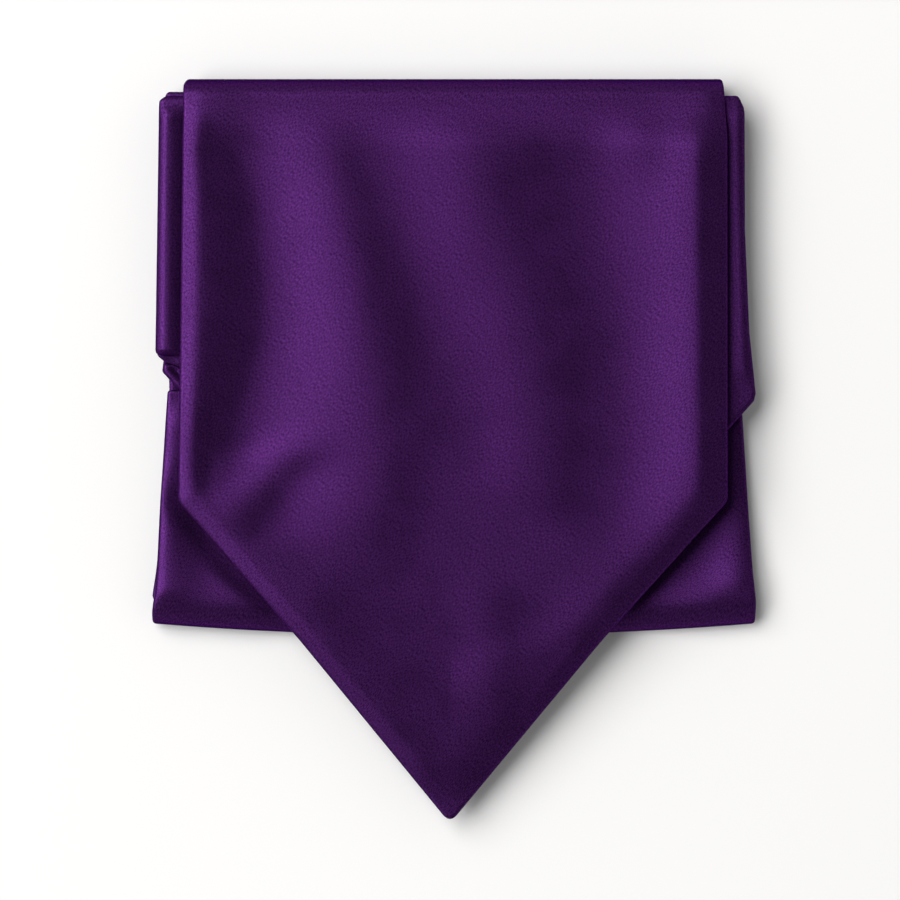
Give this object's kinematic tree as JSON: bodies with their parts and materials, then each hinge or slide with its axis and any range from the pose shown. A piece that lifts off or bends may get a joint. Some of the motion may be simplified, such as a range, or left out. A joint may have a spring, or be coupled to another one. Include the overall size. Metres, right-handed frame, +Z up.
{
  "type": "silk cravat",
  "caption": "Folded silk satin cravat: a wide pointed front blade over a second doubled blade and a pleated neckband, lying flat.",
  "frame": {"origin": "on the table, under the middle of the whole outline", "axes": "+Z up from the table, +Y from the front blade's point to the top fold, +X to the right as seen from above"},
  "size_m": [0.1658, 0.2029, 0.0154],
  "materials": {
    "silk_satin": "satin"
  },
  "bodies": {
    "root": {"front_blade": "silk_satin", "lower_fold": "silk_satin", "second_blade": "silk_satin", "neckband_pleat_upper": "silk_satin", "neckband_pleat_middle": "silk_satin", "neckband_pleat_lower": "silk_satin", "folded_neckband": "silk_satin"}
  },
  "joints": []
}
